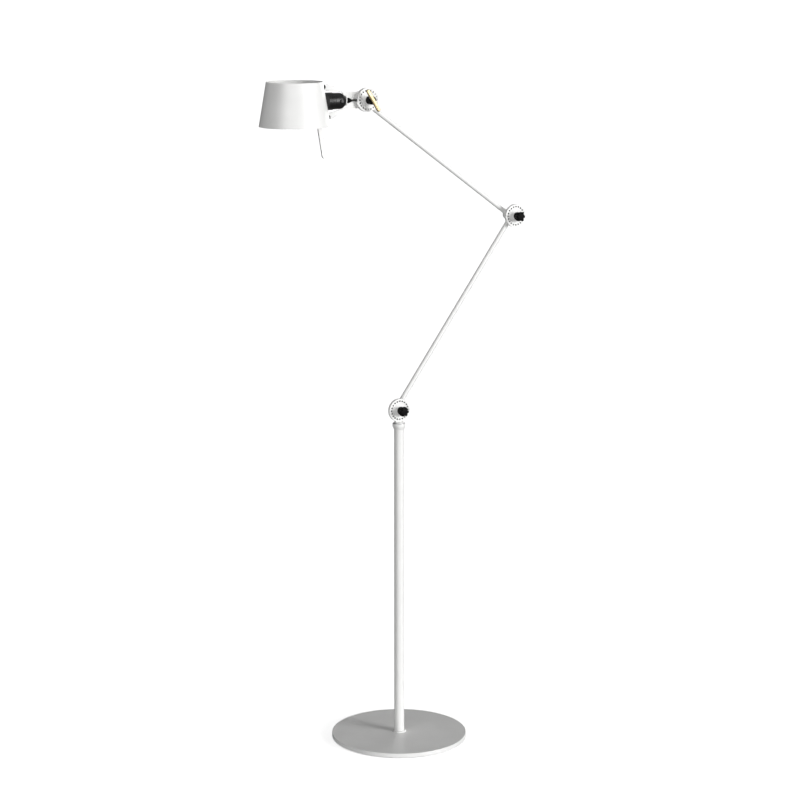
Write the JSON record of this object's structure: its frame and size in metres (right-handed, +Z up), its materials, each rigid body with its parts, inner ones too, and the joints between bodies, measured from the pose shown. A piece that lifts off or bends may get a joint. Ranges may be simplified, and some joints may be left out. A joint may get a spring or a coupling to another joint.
{
  "type": "adjustable arm floor lamp",
  "caption": "Floor lamp with a round base, a thin mast, two tube arms on clamped disc joints, and a tilting conical shade with a handle strip.",
  "frame": {"origin": "centre of the underside of the round base", "axes": "+Z up along the mast; +X from the mast towards the elbow joint; the arms move in planes parallel to XZ and the clamp knobs face -Y"},
  "size_m": [0.7268, 0.34, 1.6595],
  "materials": {
    "white_paint": "fine satin powder coat",
    "shade_paint": "fine satin powder coat, thin sheet",
    "zinc_steel": "zinc plated",
    "black_moulding": "black thermoset, half gloss",
    "black_knob": "black, satin",
    "black_steel": "black oxide",
    "black_rubber": "matte",
    "cable_sheath": "smooth cable sheath",
    "friction_ring": "dark fibre friction ring",
    "brass": "turned brass",
    "porcelain": "glazed ceramic",
    "bulb_glass": "opal glass",
    "bulb_cap": "bright"
  },
  "bodies": {
    "base": {"base_plate": "white_paint", "base_pad": "black_rubber", "foot_bolt": "zinc_steel", "foot_washer": "zinc_steel", "foot_insert": "zinc_steel", "foot_flange": "white_paint", "mast_tube": "white_paint", "cable_inlet": "black_rubber", "mast_collar": "white_paint", "collar_screw": "black_steel", "swivel_washer": "zinc_steel"},
    "mast_head": {"mast_head": "white_paint", "mast_disc": "white_paint", "shoulder_bolt": "zinc_steel", "shoulder_cone": "white_paint"},
    "lower_arm": {"lower_arm_tube": "white_paint", "lower_arm_foot": "white_paint", "lower_arm_foot_disc": "white_paint", "shoulder_washer": "friction_ring", "lower_arm_top": "white_paint", "lower_arm_top_disc": "white_paint"},
    "upper_arm": {"upper_arm_tube": "white_paint", "upper_arm_elbow": "white_paint", "upper_arm_elbow_disc": "white_paint", "elbow_washer": "friction_ring", "elbow_bolt": "zinc_steel", "elbow_cone": "white_paint", "upper_arm_tip": "white_paint", "upper_arm_tip_disc": "white_paint", "tip_cone": "white_paint", "tip_bolt": "zinc_steel"},
    "head": {"head_disc": "white_paint", "head_hub": "white_paint", "head_bracket": "white_paint", "cable_gland": "black_knob", "cable_nipple": "brass", "head_cable": "cable_sheath", "holder_cap": "black_moulding", "holder_body": "black_moulding", "holder_gasket": "black_rubber", "holder_ring": "black_moulding", "socket_insert": "porcelain", "socket_shell": "brass", "socket_contact": "brass", "bulb_cap": "bulb_cap", "bulb_glass": "bulb_glass", "lamp_shade": "shade_paint", "shade_carrier": "white_paint", "shade_bolts": "black_steel", "shade_nuts": "zinc_steel", "shade_spacers": "black_rubber", "handle_strip": "white_paint"},
    "shoulder_knob": {"shoulder_knob": "black_knob"},
    "elbow_knob": {"elbow_knob": "black_knob"},
    "wing_nut": {"wing_hub": "black_knob", "wing_bar": "brass"},
    "switch_button": {"switch_button": "black_moulding"}
  },
  "joints": [
    {"name": "mast_swivel", "type": "hinge", "parent": "base", "child": "mast_head", "pos_m": [0, 0, 0.8115], "axis": [0, 0, 1], "range_deg": [-170, 170]},
    {"name": "shoulder_tilt", "type": "hinge", "parent": "mast_head", "child": "lower_arm", "pos_m": [0, 0, 0.8445], "axis": [0, -1, 0], "range_deg": [-70, 90]},
    {"name": "elbow_tilt", "type": "hinge", "parent": "lower_arm", "child": "upper_arm", "pos_m": [0.3325, 0, 1.3075], "axis": [0, -1, 0], "range_deg": [-110, 50]},
    {"name": "head_tilt", "type": "hinge", "parent": "upper_arm", "child": "head", "pos_m": [-0.0865, 0, 1.6105], "axis": [0, -1, 0], "range_deg": [-80, 100]},
    {"name": "shoulder_knob_turn", "type": "hinge", "parent": "mast_head", "child": "shoulder_knob", "pos_m": [0, 0, 0.8445], "axis": [0, -1, 0], "range_deg": [0, 180]},
    {"name": "elbow_knob_turn", "type": "hinge", "parent": "upper_arm", "child": "elbow_knob", "pos_m": [0.3325, 0, 1.3075], "axis": [0, -1, 0], "range_deg": [0, 180]},
    {"name": "wing_nut_turn", "type": "hinge", "parent": "upper_arm", "child": "wing_nut", "pos_m": [-0.0865, 0, 1.6105], "axis": [0, -1, 0], "range_deg": [0, 180]},
    {"name": "switch_press", "type": "slide", "parent": "head", "child": "switch_button", "axis": [0, 1, 0], "range_m": [0, 0.0025], "stiffness_N_per_m": 400, "springref_m": -0.001}
  ]
}
